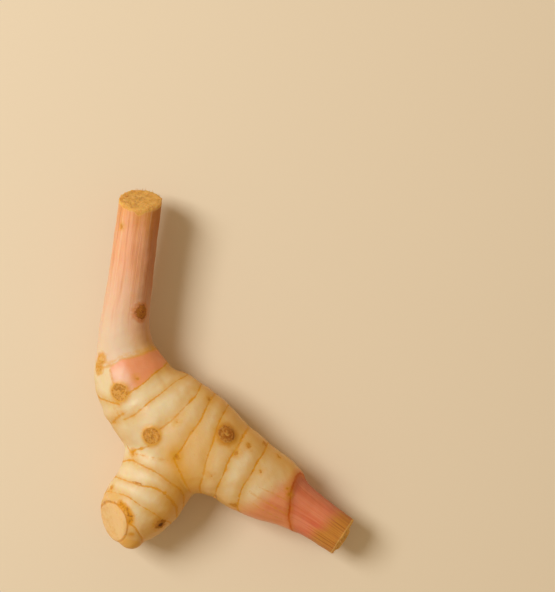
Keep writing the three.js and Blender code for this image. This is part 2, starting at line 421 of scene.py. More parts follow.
@dataclass
class Limb:
    """A limb's smooth axis and oval section, as the solid has it."""

    name: str
    sections: Sequence[tuple[float, ...]]  # centre x, y, z, half width and half height
    rings: Sequence[Ring] = ()
    veins: Sequence[Vein] = ()
    vein_radius: float = 12.0
    steps: int = 300

    BLOCK = 8192  # how many points are placed at once

    def __post_init__(self) -> None:
        """Walks the axis and keeps each sample's place, directions, half sizes and distance."""
        knots = np.array(self.sections, float)
        knots = np.vstack([2 * knots[0] - knots[1], knots, 2 * knots[-1] - knots[-2]])
        t = np.linspace(0, len(self.sections) - 1, self.steps + 1)
        first = np.minimum(t.astype(int), len(self.sections) - 2)
        u = (t - first)[:, None]
        a, b, c, d = (knots[first + shift] for shift in range(4))
        walk = 2 * b + (c - a) * u + (2 * a - 5 * b + 4 * c - d) * u**2
        walk = (walk + (3 * b - a - 3 * c + d) * u**3) / 2
        self.centre, self.wide, self.high = walk[:, :3], walk[:, 3], walk[:, 4]
        self.forward = np.gradient(self.centre, axis=0)
        self.forward /= np.linalg.norm(self.forward, axis=1)[:, None]
        self.left = np.cross(self.forward, [0.0, 0.0, 1.0])
        self.left /= np.linalg.norm(self.left, axis=1)[:, None]
        self.up = np.cross(self.left, self.forward)
        strides = np.linalg.norm(np.diff(self.centre, axis=0), axis=1)
        self.along = np.concatenate([[0.0], np.cumsum(strides)])

    def place(self, points: np.ndarray) -> tuple[Place, np.ndarray]:
        """Where points lie on the limb.

        Args:
            points: The points, one a row.

        Returns:
            Their places, and roughly how far each is outside the limb's skin.
        """
        nearest = np.empty(len(points), int)
        for start in range(0, len(points), self.BLOCK):
            block = slice(start, start + self.BLOCK)
            span = points[block, None, :] - self.centre[None, :, :]
            nearest[block] = np.einsum("ijk,ijk->ij", span, span).argmin(axis=1)
        offset = points - self.centre[nearest]
        ahead = np.einsum("ij,ij->i", offset, self.forward[nearest])
        across = np.einsum("ij,ij->i", offset, self.left[nearest])
        above = np.einsum("ij,ij->i", offset, self.up[nearest])
        wide, high = self.wide[nearest], self.high[nearest]
        reach = np.hypot(across / wide, above / high)
        angle = np.arctan2(above / high, across / wide)
        skin = np.hypot(wide * np.cos(angle), high * np.sin(angle))
        at_end = (nearest == 0) | (nearest == self.steps)
        outside = (reach - 1) * skin + np.where(at_end, np.abs(ahead), 0)
        return Place(self.along[nearest] + ahead, np.cos(angle), np.sin(angle)), outside

    def spot(self, along: float, angle: float) -> tuple[np.ndarray, np.ndarray]:
        """A point on the limb's oval skin and its outward direction.

        Args:
            along: How far along the axis.
            angle: The angle round it.

        Returns:
            The point and the direction.
        """
        at = int(np.abs(self.along - along).argmin())
        turn = math.radians(angle)
        cosine, sine = math.cos(turn), math.sin(turn)
        side = self.left[at] * cosine
        above = self.up[at] * sine
        out = side / self.wide[at] + above / self.high[at]
        point = self.centre[at] + side * self.wide[at] + above * self.high[at]
        return point, out / np.linalg.norm(out)

    def nearest_line(self, place: Place) -> Field:
        """How far a place is from the nearest of the limb's ring lines."""
        waves = place.waves()
        return nearest_of([ring.distance(place, waves) for ring in self.rings])

    def nearest_vein(self, place: Place) -> Field:
        """How far a place is from the nearest of the limb's veins."""
        return nearest_of([vein.distance(place, self.vein_radius) for vein in self.veins])


STEM = Limb(
    "stem",
    [
        (-32.7, 82, 21.5, 8.9, 8.8),
        (-36.7, 52.5, 20, 9.2, 9.1),
        (-39.3, 32.5, 19, 9.6, 9.6),
        (-41, 22, 18, 10.2, 10.2),
        (-41.4, 10.5, 17, 12, 11.5),
        (-40.5, -1, 16.3, 13, 12.8),
    ],
)
TRUNK = Limb(
    "body",
    [
        (-41, 11.5, 16.6, 12.2, 11.7),
        (-40.2, 6.5, 16.4, 13.6, 13),
        (-38.9, -0.5, 16.3, 15.6, 14.6),
        (-33.2, -11.7, 16.4, 17.8, 16.2),
        (-21.8, -21.5, 17.4, 20.4, 17),
        (-8.6, -31.3, 17.4, 20, 17),
        (2.6, -38.1, 16.8, 16.6, 16.4),
        (13.4, -45.8, 15.6, 15.5, 15.4),
        (22.4, -51, 15, 13.9, 13.7),
        (30.5, -56.5, 14.5, 10.9, 10.7),
        (35.5, -60, 14.3, 9.9, 9.8),
        (41, -63.8, 14, 9.4, 9.3),
    ],
    [
        Ring(17.5, 3, 2, 0.0, 170, 106),
        Ring(21.9, -6.4, 2.5, 0.0, 0, 62),
        Ring(28.5, -4.5, 0.5, 0.12, 190, 135),
        Ring(26.5, -2.5, 0.0, 0.05, 15, 45),
        Ring(38, -2.5, 2, 0.08, 190, 132),
        Ring(49.5, 1.5, 0, 0.0, 180, 114),
        Ring(61.5, 5, -2, 0.05),
        Ring(70.5, 2, -2, 0.0),
        Ring(82, 3, -4, 0.0),
        Ring(104.5, 6, -5.5),
    ],
    [
        Vein(9.5, 17, 64, 4),
        Vein(20, 25, 50, 3, 0.1),
        Vein(81.8, 101, 76, -9, 0.12),
        Vein(84.1, 98.5, 89, 3, 0.2),
        Vein(84.1, 101, 61, -12, 0.2),
        Vein(90, 102, 40, -4, 0.25),
    ],
    11.5,
)
SHOOT = Limb(
    "shoot",
    [
        (20, -50, 15.2, 12.6, 12.4),
        (26, -53.8, 14.8, 11.6, 11.4),
        (31.5, -57.5, 14.4, 10, 10),
        (40, -63.2, 14, 8.9, 8.9),
        (57, -75.3, 13.3, 8.2, 8.2),
    ],
)
STUB = Limb(
    "stub",
    [
        (-24.8, -29.5, 16.5, 14, 13.5),
        (-26, -36.3, 16.3, 14.7, 14.5),
        (-29, -48, 16, 15.6, 15.3),
        (-35.6, -57, 15.3, 15, 15.1),
        (-41.4, -64.6, 15.8, 13.1, 13.8),
        (-45.8, -71.4, 16.5, 12, 12.5),
    ],
    [
        Ring(17.8, -4.6, -6.5),
        Ring(26.5, 1.6, -8.2),
        Ring(31.5, 3.4, -5.6, 0.12),
    ],
)


class Bark(Enum):
    """The kinds of mark on the skin."""

    CORKY = "an old root scar, corky and dished"
    SWIRLED = "a root's stump under healed skin, ridged in rounds"
    FLAKY = "a root scar that flakes away"
    HEALED = "a low dark root scar"
    SPECK = "a small brown speck"
    PIT = "a hole that a root left"


@dataclass(frozen=True)
class Mark:
    """A round mark on a limb's skin, `raised` as far as the solid has it."""

    limb: Limb
    along: float
    angle: float
    radius: float
    bark: Bark
    raised: float = 0.0

    def centre(self) -> np.ndarray:
        """The middle of the mark."""
        skin, out = self.limb.spot(self.along, self.angle)
        return skin + out * self.raised

    def out(self) -> np.ndarray:
        """The direction that the mark faces."""
        return self.limb.spot(self.along, self.angle)[1]


# The specks' places along and round each limb, with their radii.
SPECKS = (
    (TRUNK, [(80.4, 34, 2.2), (97.5, 104, 1.1), (50.5, 66, 1.5), (15.5, 100, 0.9)]),
    (TRUNK, [(68.5, 111, 1.2), (71, 132, 1.5), (76.8, 159, 1.6), (80.5, 110, 0.8)]),
    (TRUNK, [(86, 154, 1.2), (95, 111, 0.7), (65, 66, 0.7), (42, 99, 0.7), (60, -20, 1.4)]),
    (TRUNK, [(47, 150, 1.2), (66, 250, 1.6)]),
    (STUB, [(6.5, 42, 1.5), (29.7, 27, 1.5), (33.5, 8, 1.2), (22, -80, 1.5)]),
    (STEM, [(23, 51, 1.1), (70, -70, 1.6)]),
)
MARKS = (
    Mark(TRUNK, 18, 70, 3.5, Bark.CORKY, 0.5),
    Mark(TRUNK, 38, 68, 3.5, Bark.CORKY, 0.5),
    Mark(TRUNK, 33, 196, 3.2, Bark.CORKY, 0.5),
    Mark(TRUNK, 57, 218, 3.4, Bark.CORKY, 0.6),
    Mark(TRUNK, 26, -52, 3.2, Bark.CORKY, 0.5),
    Mark(TRUNK, 76, -45, 2.8, Bark.CORKY, 0.5),
    Mark(STUB, 29, 212, 3.0, Bark.CORKY, 0.5),
    Mark(TRUNK, 44, -112, 3.4, Bark.CORKY, 2.0),
    Mark(TRUNK, 62, 124, 3.6, Bark.SWIRLED, 0.7),
    Mark(TRUNK, 4.7, 43, 2.4, Bark.FLAKY, 0.3),
    Mark(TRUNK, 8.6, 37, 2.6, Bark.FLAKY, 0.3),
    Mark(STEM, 56, 136, 3.3, Bark.HEALED, 0.3),
    Mark(STUB, 28.5, 141, 2.1, Bark.PIT),
    *(Mark(limb, *speck, Bark.SPECK) for limb, specks in SPECKS for speck in specks),
)


@dataclass(frozen=True)
class Ball:
    """An oval lump, its middle and its half sizes."""

    centre: tuple[float, float, float]
    radii: tuple[float, float, float]

    def outside(self, points: np.ndarray) -> np.ndarray:
        """Roughly how far a point, or each of several, is outside the lump."""
        scaled = (np.array(points) - np.array(self.centre)) / np.array(self.radii)
        return (np.linalg.norm(scaled, axis=-1) - 1) * min(self.radii)


@dataclass(frozen=True)
class Cut:
    """A plane that an end was cut or broken on."""

    point: tuple[float, float, float]
    towards: tuple[float, float, float]

    def normal(self) -> np.ndarray:
        """The direction out of the cut, of length 1."""
        out = np.array(self.towards, float)
        return out / np.linalg.norm(out)

    def depth(self, points: np.ndarray) -> np.ndarray:
        """How far below the plane points are."""
        return (np.array(self.point) - points) @ self.normal()


STUB_FACE = Cut((-47, -63.8, 19), (-0.79, -0.26, 0.55))
STEM_CUT = Cut((-34.6, 71.6, 21), (0.1, 0.87, 0.48))
SHOOT_CUT = Cut((51.2, -69.5, 14), (0.83, -0.54, 0.12))
BUD = Ball((-38.2, -68.7, 18.8), (5.6, 6, 6.4))
# The healed skin over the stub's face, an upright oval seen from above.
FACE = Ball((-46, -63, 19), (7.4, 9.2, 60))

# Where the solid's edges stay crisp: the stem's cut, the shoot and its collar, the stub's face.
CRISP = (
    Ball((-34.6, 71.6, 21), (13, 13, 13)),
    Ball((43, -65, 14), (17, 17, 17)),
    Ball((-50, -64, 16), (12, 12, 12)),
)

# Lines seen from above are drawn where the skin is higher than these levels.
OVER_STUB = 8.0
OVER_FORK = 23.0
FAR = 9.0  # the distance from a line that stands for any longer one

# On the stub's end: the torn edge beside the face, the seam round the bud, and a spot on it.
TORN_EDGE = ((-41.6, -54.5), (-38.9, -56.7), (-37.5, -59.2), (-37.5, -61.8))
TORN_HALF = 1.05
BUD_SEAM = ((-38.6, -62.0), (-35.6, -64.4), (-33.3, -69.2), (-33.8, -73.2))
BUD_SPOT = (-37.4, -67.3, 27.2)

# The creases of the fork, as they run over the top: one on either side and a faint one between.
FORK_LINE = ((-41.1, -29.8), (-37.5, -33.7), (-35.4, -32.4), (-29.5, -30.4))
FORK_CREASE = ((-19.3, -35.2), (-18.4, -38.1), (-15.9, -43.9), (-13.2, -50.1))
FORK_FAINT_LINE = ((-37.5, -33.7), (-29.5, -35.0), (-20.5, -36.3))

# The middle of a painted shadow, in the ochre tone, on the top of the body beside the fork.
PAINTED_SHADOW_MIDDLE = (-13, -32, 33)

# Where the stem's cut tore down in a small tongue, round the stem.
STEM_TONGUE_ANGLE = 98

# Where the stem's foot meets the young skin under it, along the body: it slopes round the body and
# dips to a blunt point.
FOOT_ALONG = 4.9
FOOT_SLOPE = 1.1
FOOT_DIP = 2.6
FOOT_ANGLE = 50


# ---- The skin ----


@dataclass
class Skin:
    """The whole outer surface of the rhizome as one fine closed mesh."""

    grain: float = 0.545  # size of its faces
    weld: float = 0.002  # how near the solid's loose corners are joined
    smoothing: int = 4  # rounds for the whole skin
    facet_smoothing: int = 30  # rounds where nothing is crisp
    foot_middle: tuple[float, float, float] = (-37.0, 6.0, 18.0)
    foot_reaches: tuple[float, ...] = (27.0, 24.0, 21.0, 18.0, 15.0)
    foot_smoothing: int = 16  # rounds within each of those reaches of the middle
    lump: float = 0.22  # height of its slow unevenness
    lump_size: float = 9.0
    pucker: float = 0.035  # height of its quick unevenness
    pucker_size: float = 2.6
    groove: float = 0.05  # depth of a ring's line
    groove_half: float = 0.6
    fill: float = 0.15  # how far the solid's wide dip at a ring is filled again
    fill_half: float = 3.6
    lip: float = 0.04  # how far the skin rises before a ring
    lip_reach: float = 1.2
    dish: float = 0.45  # depth of a corky scar's middle
    rim: float = 0.13  # height of its rim
    cork: float = 0.17  # height of its grains
    cork_size: float = 1.0
    cork_shift: float = 31.0  # reads them from another part of the noise than the edges
    pit_fill: float = 0.7
    swirl: float = 0.14  # height of a swirled scar's rounds
    swirl_turn: float = 1.35  # from one round to the next
    mark_wander: float = 0.8  # how far a mark's edge strays
    mark_wander_size: float = 2.2
    mark_reach: float = 2.0  # how far past its radius a mark is worked out
    mark_edge: float = 0.7  # width of its edge
    rim_half: float = 0.6
    face_lap: float = 0.7  # how far the face reaches past its cut
    face_over: float = 1.3  # and how much further at its upper edge
    face_over_level: float = 22.0  # the level at which its upper edge starts
    face_inset: float = 1.0  # how far inside the stub's skin its lower edge lies
    face_inset_level: float = 21.0  # the level at which that ends
    face_blend: float = 3.0  # and the height over which either changes
    face_swell: float = 0.3
    face_rim: float = 0.5
    torn_depth: float = 0.28
    torn_size: float = 1.6
    bud_swell: float = 0.5
    seam: float = 0.22  # depth of the line round the bud
    seam_half: float = 0.5
    end_band: float = 0.9  # how deep the torn ends reach
    stem_tear: float = 0.4
    stem_tear_sizes: tuple[float, float] = (1.5, 3.5)  # of its fine and its broad unevenness
    shoot_tear: float = 0.3
    shoot_tear_size: float = 1.3
    cut_clear: float = 0.3  # the skin's own relief starts so far from a cut
    floor_clear: float = 0.6  # the skin isn't moved below this height, so that the flats stay flat
    floor_fade: float = 1.5

    def build(self) -> bpy.types.Object:
        """Makes the skin from the solid's own mesh.

        Returns:
            The skin, finished and riding on the body.
        """
        fine = self._remeshed(self._merged_copy())
        self._soften(fine)
        self._sculpt(fine)
        piece = linked("rhizome_skin", fine)
        fine.materials.clear()
        fine.materials.append(SkinFinish().build())
        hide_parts(NODE)
        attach(piece, BODY)
        return piece

    def _merged_copy(self) -> bpy.types.Object:
        """A copy of the solid's mesh with its loose triangles joined.

        Returns:
            The copy, as a piece of the scene.
        """
        shape = bmesh.new()
        shape.from_mesh(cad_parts[NODE].data)
        bmesh.ops.remove_doubles(shape, verts=shape.verts, dist=self.weld * MM)
        return piece_of(shape, "coarse")

    def _remeshed(self, coarse: bpy.types.Object) -> bpy.types.Mesh:
        """An even fine mesh of a coarse piece, which is deleted.

        Args:
            coarse: The piece with the solid's own faces.

        Returns:
            The mesh.
        """
        remesh = coarse.modifiers.new("even faces", "REMESH")
        remesh.mode = "VOXEL"
        remesh.voxel_size = self.grain * MM
        remesh.use_smooth_shade = True
        depsgraph = bpy.context.evaluated_depsgraph_get()
        fine = bpy.data.meshes.new_from_object(coarse.evaluated_get(depsgraph))
        bpy.data.objects.remove(coarse)
        return fine

    def _soften(self, mesh: bpy.types.Mesh) -> None:
        """Melts the solid's facets away where nothing is crisp, and its step at the stem's foot.

        Args:
            mesh: The fine mesh, changed in place.
        """
        shape = bmesh.new()
        shape.from_mesh(mesh)
        plain = [v for v in shape.verts if all(ball.outside(v.co / MM) > 0 for ball in CRISP)]
        rounds = [(list(shape.verts), self.smoothing), (plain, self.facet_smoothing)]
        middle = Vector(self.foot_middle) * MM
        for reach in self.foot_reaches:
            near = [v for v in shape.verts if (v.co - middle).length < reach * MM]
            rounds.append((near, self.foot_smoothing))
        axes = {f"use_axis_{axis}": True for axis in "xyz"}
        for verts, times in rounds:
            for _ in range(times):
                bmesh.ops.smooth_vert(shape, verts=verts, factor=0.5, **axes)
        shape.to_mesh(mesh)
        shape.free()

    def _sculpt(self, mesh: bpy.types.Mesh) -> None:
        """Adds the fine relief and stores what the finish reads.

        Args:
            mesh: The smooth mesh, changed in place.
        """
        points, normals = read_rows(mesh.vertices, "co") / MM, read_rows(mesh.vertices, "normal")
        places = {limb.name: limb.place(points) for limb in (STEM, TRUNK, SHOOT, STUB)}
        outside = {name: out for name, (_, out) in places.items()}
        cuts = np.column_stack([cut.depth(points) for cut in (STUB_FACE, STEM_CUT, SHOOT_CUT)])
        off_cuts = unit(cuts.min(axis=1) - self.cut_clear)
        off_face = self._off_face(points, cuts[:, 0], outside["stub"])
        rise = self._unevenness(points, self.lump_size) * self.lump
        rise += self._unevenness(points, self.pucker_size) * self.pucker * off_cuts
        stub_rings = self._ring_relief(STUB, places["stub"][0])
        body_rings = self._ring_relief(TRUNK, places["body"][0])
        rise += np.where(outside["body"] > outside["stub"], stub_rings, body_rings) * off_cuts
        rise += self._mark_relief(points)
        rise += self._cut_relief(points, cuts, off_face, outside["stub"])
        rise *= unit((points[:, 2] - self.floor_clear) / self.floor_fade)
        moved = (points + normals * rise[:, None]) * MM
        mesh.vertices.foreach_set("co", moved.astype(np.float32).ravel())
        mesh.update()
        stub_lines = [plan_distance(points, line, OVER_STUB) for line in (BUD_SEAM, TORN_EDGE)]
        fork_lines = (FORK_LINE, FORK_FAINT_LINE, FORK_CREASE)
        stored = {
            "ends": (off_face, cuts[:, 1:]),
            "limb_outsides": [outside[name] for name in ("body", "stub", "shoot")],
            "end_lines": (BUD.outside(points), *stub_lines),
            "fork_lines": [plan_distance(points, line, OVER_FORK) for line in fork_lines],
        }
        for name, (place, _) in places.items():
            stored[f"{name}_place"] = (place.along, place.cosine, place.sine)
        for name, columns in stored.items():
            rows = np.column_stack(columns).astype(np.float32)
            attribute = mesh.attributes.new(name, "FLOAT_VECTOR", "POINT")
            attribute.data.foreach_set("vector", rows.ravel())

    def _off_face(self, points: np.ndarray, depth: np.ndarray, off_stub: np.ndarray) -> np.ndarray:
        """How far outside the stub's healed face points are.

        Args:
            points: The points.
            depth: How far below the face's plane they are.
            off_stub: How far outside the stub they are.

        Returns:
            The distances, below zero on the face.
        """
        height = points[:, 2]
        over = unit((height - self.face_over_level) / self.face_blend)
        reach = self.face_lap + self.face_over * over
        free = unit((height - self.face_inset_level) / self.face_blend)
        past_edge = off_stub + self.face_inset - 6 * free
        return np.maximum(np.maximum(FACE.outside(points), np.abs(depth) - reach), past_edge)

    @staticmethod
    def _unevenness(points: np.ndarray, size: float) -> np.ndarray:
        """Soft noise from -1 to 1 at each point, with blotches of that size."""
        return np.array([noise.fractal(Vector(point / size), 1.0, 2.0, 3) for point in points])

    def _ring_relief(self, limb: Limb, place: Place) -> np.ndarray:
        """The rings' grooves and the lips before them.

        Args:
            limb: The limb.
            place: The points' places on it.

        Returns:
            How far each point rises.
        """
        waves = place.waves()
        rise = np.zeros(len(place.along))
        for ring in limb.rings:
            away = ring.distance(place, waves)
            line = self.groove * bell(away, self.groove_half)
            rise += self.fill * bell(away, self.fill_half) - line
            before = ring.gap(place, waves) <= 0
            rise += self.lip * bell(np.maximum(away, 0), self.lip_reach) * before
        return rise

    def _mark_relief(self, points: np.ndarray) -> np.ndarray:
        """The dishes, rims and grains of the root scars, and the hole's lip.

        Args:
            points: The points.

        Returns:
            How far each point rises.
        """
        rise = np.zeros(len(points))
        for mark in MARKS:
            offset = points - mark.centre()
            near = np.flatnonzero(np.linalg.norm(offset, axis=1) < mark.radius + self.mark_reach)
            rise[near] += self._one_mark(mark, points[near], offset[near])
        return rise

    def _one_mark(self, mark: Mark, points: np.ndarray, offset: np.ndarray) -> np.ndarray:
        """One mark's relief.

        Args:
            mark: The mark.
            points: The points near it.
            offset: Those points from its middle.

        Returns:
            How far each point rises.
        """
        away = np.linalg.norm(offset, axis=1)
        grains = self._unevenness(points + self.cork_shift, self.cork_size) * self.cork
        edge = mark.radius + self.mark_wander * self._unevenness(points, self.mark_wander_size)
        inside = unit((edge - away) / self.mark_edge)
        rim = bell(away - edge, self.rim_half) * self.rim
        if mark.bark is Bark.CORKY:
            return rim + inside * (grains - (1 - (away / mark.radius) ** 2).clip(0) * self.dish)
        if mark.bark is Bark.SWIRLED:
            out = mark.out()
            side = np.cross(out, [0.0, 0.0, 1.0])
            side /= np.linalg.norm(side)
            angle = np.arctan2(offset @ np.cross(out, side), offset @ side)
            rounds = np.cos(2 * math.pi * away / self.swirl_turn + angle)
            return inside * (rounds * self.swirl + grains * 0.6)
        if mark.bark in (Bark.FLAKY, Bark.HEALED):
            return inside * (grains * 1.4 + 0.3)
        if mark.bark is Bark.PIT:
            return rim * 1.6 + inside * self.pit_fill
        return inside * (grains * 0.6 - 0.12)

    def _cut_relief(
        self, points: np.ndarray, cuts: np.ndarray, off_face: np.ndarray, off_stub: np.ndarray
    ) -> np.ndarray:
        """The stub's healed face and its bud, and the rough ends of stem and shoot.

        Args:
            points: The points.
            cuts: How far below the face's and both ends' planes they are.
            off_face: How far outside the face they are.
            off_stub: How far outside the stub they are.

        Returns:
            How far each point rises.
        """
        face, stem_end, shoot_end = cuts.T
        on_face = unit((self.face_lap - np.abs(face)) / 0.5) * unit(-off_stub - 0.6)
        low = unit((27 - points[:, 2]) / 3)
        rise = bell(face, 0.7) * bell(off_stub, 0.8) * low * self.face_rim
        rise += on_face * self.face_swell
        torn = unit(1.3 - plan_distance(points, TORN_EDGE, OVER_STUB) / TORN_HALF)
        rise += torn * (self._unevenness(points, self.torn_size) - 1) * self.torn_depth
        bud = unit(0.6 - BUD.outside(points) / 1.5) * unit(off_face / 0.6 + 0.3)
        rise += bud * self.bud_swell
        rise -= bell(plan_distance(points, BUD_SEAM, OVER_STUB), self.seam_half) * self.seam
        on_stem, on_shoot = (
            unit((self.end_band - np.abs(end)) / 0.6) for end in (stem_end, shoot_end)
        )
        fine, broad = (self._unevenness(points, size) for size in self.stem_tear_sizes)
        rise += on_stem * self.stem_tear * (fine + 0.5 * broad)
        fine = self._unevenness(points, self.shoot_tear_size)
        return rise + on_shoot * self.shoot_tear * fine


def unit(number: np.ndarray) -> np.ndarray:
    """A number kept between 0 and 1."""
    return np.clip(number, 0, 1)


def bell(away: np.ndarray, half: float) -> np.ndarray:
    """1 at no distance, and a smooth fall to 0 at a few times `half`."""
    return np.exp(-((away / half) ** 2))


@dataclass(frozen=True)
class Flake:
    """A scrap of a dead scale leaf on a ring, with its middle angle and half its width in degrees.

    It reaches so far from the ring towards the limb's end, or back where that is below zero.
    """

    limb: Limb
    ring: int
    angle: float
    half: float
    reach: float


FLAKES = (
    Flake(STUB, 1, 66, 9, -1.5),
    Flake(STUB, 1, 196, 12, 1.2),
    Flake(STUB, 2, -60, 16, -1.6),
    Flake(STUB, 0, 250, 14, 1.6),
    Flake(TRUNK, 0, 215, 14, 1.4),
    Flake(TRUNK, 5, 196, 11, 1.3),
    Flake(TRUNK, 5, -70, 12, 1.8),
    Flake(TRUNK, 6, 236, 13, 1.5),
    Flake(TRUNK, 7, 24, 9, 1.0),
    Flake(TRUNK, 8, 205, 10, 1.2),
    Flake(TRUNK, 8, -62, 15, 1.6),
    Flake(TRUNK, 9, 232, 16, 1.4),
)


@dataclass
class Scales:
    """Papery scraps of dead scale leaves, each held by its ring."""

    columns: int = 16
    rows: int = 4
    thickness: float = 0.09
    gap: float = 0.03  # between the held edge and the skin
    lift: float = 0.3  # how far the free edge stands off
    ragged: float = 0.35  # how uneven the free edge is
    start: float = 4.0  # how far outside the skin it is looked for

    def build(self, skin: BVHTree) -> bpy.types.Object:
        """Makes all the scraps as one piece.

        Args:
            skin: The finished skin that they lie on.

        Returns:
            The piece, riding on the body.
        """
        shape = bmesh.new()
        for flake in FLAKES:
            grid = bmesh.ops.create_grid(
                shape, x_segments=self.columns, y_segments=self.rows, size=1
            )
            for vert in grid["verts"]:
                vert.co = self._laid(flake, vert.co.x, (vert.co.y + 1) / 2, skin)
            faces = {face for vert in grid["verts"] for face in vert.link_faces}
            bmesh.ops.solidify(shape, geom=list(faces), thickness=self.thickness * MM)
        bmesh.ops.recalc_face_normals(shape, faces=shape.faces)
        finish = DryFinish("dry_scale", Tone(228, 172, 92), Tone(202, 136, 52)).build()
        return ridden(shape, "scale_leaf_scraps", finish, False)

    def _laid(self, flake: Flake, side: float, out: float, skin: BVHTree) -> Vector:
        """Where a point of a scrap lies.

        Args:
            flake: The scrap.
            side: From -1 to 1 along its ring.
            out: From 0 at the ring to 1 at the free edge.
            skin: The finished skin.

        Returns:
            The point, in scene units.
        """
        angle = flake.angle + side * flake.half
        turn = math.radians(angle)
        at_ring = Place(*(np.array([number]) for number in (0.0, math.cos(turn), math.sin(turn))))
        line = -float(flake.limb.rings[flake.ring].gap(at_ring, at_ring.waves())[0])
        narrow = math.sqrt(max(1 - side * side, 0))
        uneven = 1 + self.ragged * noise.noise(Vector((side * 3, flake.angle, flake.ring)))
        point, facing = flake.limb.spot(line + flake.reach * out * narrow * uneven, angle)
        origin, towards = Vector(point + facing * self.start) * MM, Vector(-facing)
        hit = skin.ray_cast(origin, towards)[0] or Vector(point) * MM
        return hit + Vector(facing) * (self.gap + self.lift * out * narrow) * MM


@dataclass
class Fibres:
    """Short torn fibres that stand out of a cut end."""

    name: str
    limb: Limb
    cut: Cut
    count: int
    seed: int
    longest: float = 1.3
    thickest: float = 0.13
    inset: float = 0.35  # how far inside the cut's edge the outermost stand
    buried: float = 0.4
    spread: float = 0.35  # how far they lean aside
    sides: int = 5
    tip: float = 0.3  # a fibre's width at its tip, as a share of that at its foot
    edge_steps: int = 200  # how many places along the limb are tried to find the cut's edge

    def build(self) -> bpy.types.Object:
        """Makes the fibres as one piece, riding on the body.

        Returns:
            The piece.
        """
        chance = random.Random(self.seed)
        shape = bmesh.new()
        for _ in range(self.count):
            angle = chance.uniform(0, 360)
            inward = chance.random() ** 3
            base = self._base(angle, inward)
            lean = Vector((chance.gauss(0, self.spread) for _ in range(3)))
            towards = (Vector(self.cut.normal()) + lean).normalized()
            length = self.longest * chance.uniform(0.35, 1.0) * (1 - 0.6 * inward) + self.buried
            thick = self.thickest * chance.uniform(0.5, 1.0)
            middle = base + towards * (length / 2 - self.buried)
            turn = towards.to_track_quat("Z", "Y").to_matrix().to_4x4()
            bmesh.ops.create_cone(
                shape,
                cap_ends=True,
                segments=self.sides,
                radius1=thick * MM,
                radius2=thick * self.tip * MM,
                depth=length * MM,
                matrix=Matrix.Translation(middle * MM) @ turn,
            )
        finish = DryFinish(self.name, Tone(232, 186, 116), Tone(204, 142, 66)).build()
        return ridden(shape, self.name, finish)

    def _at_cut(self, points: Iterable[np.ndarray]) -> np.ndarray:
        """The one of several points that is nearest to the cut's plane."""
        return min(points, key=lambda point: abs(self.cut.depth(point)))

    def _base(self, angle: float, inward: float) -> Vector:
        """Where a fibre leaves the cut.

        Args:
            angle: The angle round the cut.
            inward: From 0 at its edge to 1 in its middle.

        Returns:
            The point, in millimetres.
        """
        steps = np.linspace(0, self.limb.along[-1], self.edge_steps)
        edge = self._at_cut(self.limb.spot(step, angle)[0] for step in steps)
        centre = self._at_cut(self.limb.centre[:-1])
        reach = np.linalg.norm(edge - centre)
        return Vector(centre + (edge - centre) * (1 - self.inset / reach) * (1 - inward))


def ridden(
    shape: bmesh.types.BMesh, name: str, material: bpy.types.Material, smooth: bool = True
) -> bpy.types.Object:
    """Turns a finished shape into a piece that rides on the body.

    Args:
        shape: The shape, freed here.
        name: The piece's name.
        material: Its finish.
        smooth: Whether its faces are shaded smooth.

    Returns:
        The piece.
    """
    piece = piece_of(shape, name)
    for face in piece.data.polygons:
        face.use_smooth = smooth
    piece.data.materials.append(material)
    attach(piece, BODY)
    return piece


def piece_of(shape: bmesh.types.BMesh, name: str) -> bpy.types.Object:
    """Turns a shape into a piece of the scene.

    Args:
        shape: The shape, freed here.
        name: The piece's name.

    Returns:
        The piece.
    """
    mesh = bpy.data.meshes.new(name)
    shape.to_mesh(mesh)
    shape.free()
    return linked(name, mesh)


def linked(name: str, content: bpy.types.ID) -> bpy.types.Object:
    """Puts a new object in the scene.

    Args:
        name: The object's name.
        content: The mesh, light or camera.

    Returns:
        The object.
    """
    new = bpy.data.objects.new(name, content)
    bpy.context.scene.collection.objects.link(new)
    return new


def plan_distance(
    points: np.ndarray, line: Sequence[tuple[float, float]], floor: float
) -> np.ndarray:
    """How far points are from a line seen from above.

    Args:
        points: The points.
        line: The line's corners.
        floor: The level below which the line isn't drawn.

    Returns:
        The distances, at most FAR, and FAR below that level.
    """
    nearest = np.full(len(points), FAR)
    for start, end in zip(line, line[1:]):
        start, span = np.array(start), np.array(end) - np.array(start)
        offset = points[:, :2] - start
        share = unit(offset @ span / (span @ span))
        nearest = np.minimum(nearest, np.linalg.norm(offset - share[:, None] * span, axis=1))
    return np.where(points[:, 2] > floor, nearest, FAR)


def read_rows(owners: Any, name: str) -> np.ndarray:
    """A three-number property of a mesh's vertices, one a row.

    Args:
        owners: The vertices.
        name: The property's name.

    Returns:
        The array.
    """
    flat = np.empty(len(owners) * 3, np.float32)
    owners.foreach_get(name, flat)
    return flat.reshape(-1, 3).astype(float)


# ---- Finishes ----


@dataclass
class Layers:
    """A colour, a height and a dullness that a finish lays one thing after another on."""

    graph: Graph
    colour: Any
    dull: Value
    height: Any = 0.0

    def lay(self, share: Number, tone: Any, strength: float = 1.0, dull: float = 0.0) -> None:
        """Lays a colour on where the share is above 0.

        Args:
            share: How much of it shows, from 0 to 1.
            tone: The colour.
            strength: The most of it that shows.
            dull: How far it takes the shine away.
        """
        self.colour = self.graph.mix(share * strength, self.colour, tone)
        if dull > 0:
            self.dull = self.dull.most(share * dull)

    def raise_by(self, height: Value) -> None:
        """Adds a height in millimetres."""
        self.height = height + self.height


# The direction towards the key lamp. Painted shade in deeper tones lies on the sides turned away
# from it, and painted light keeps the stem paler on the side facing it.
LAMP_DIRECTION = (-0.54, 0.32, 0.778)


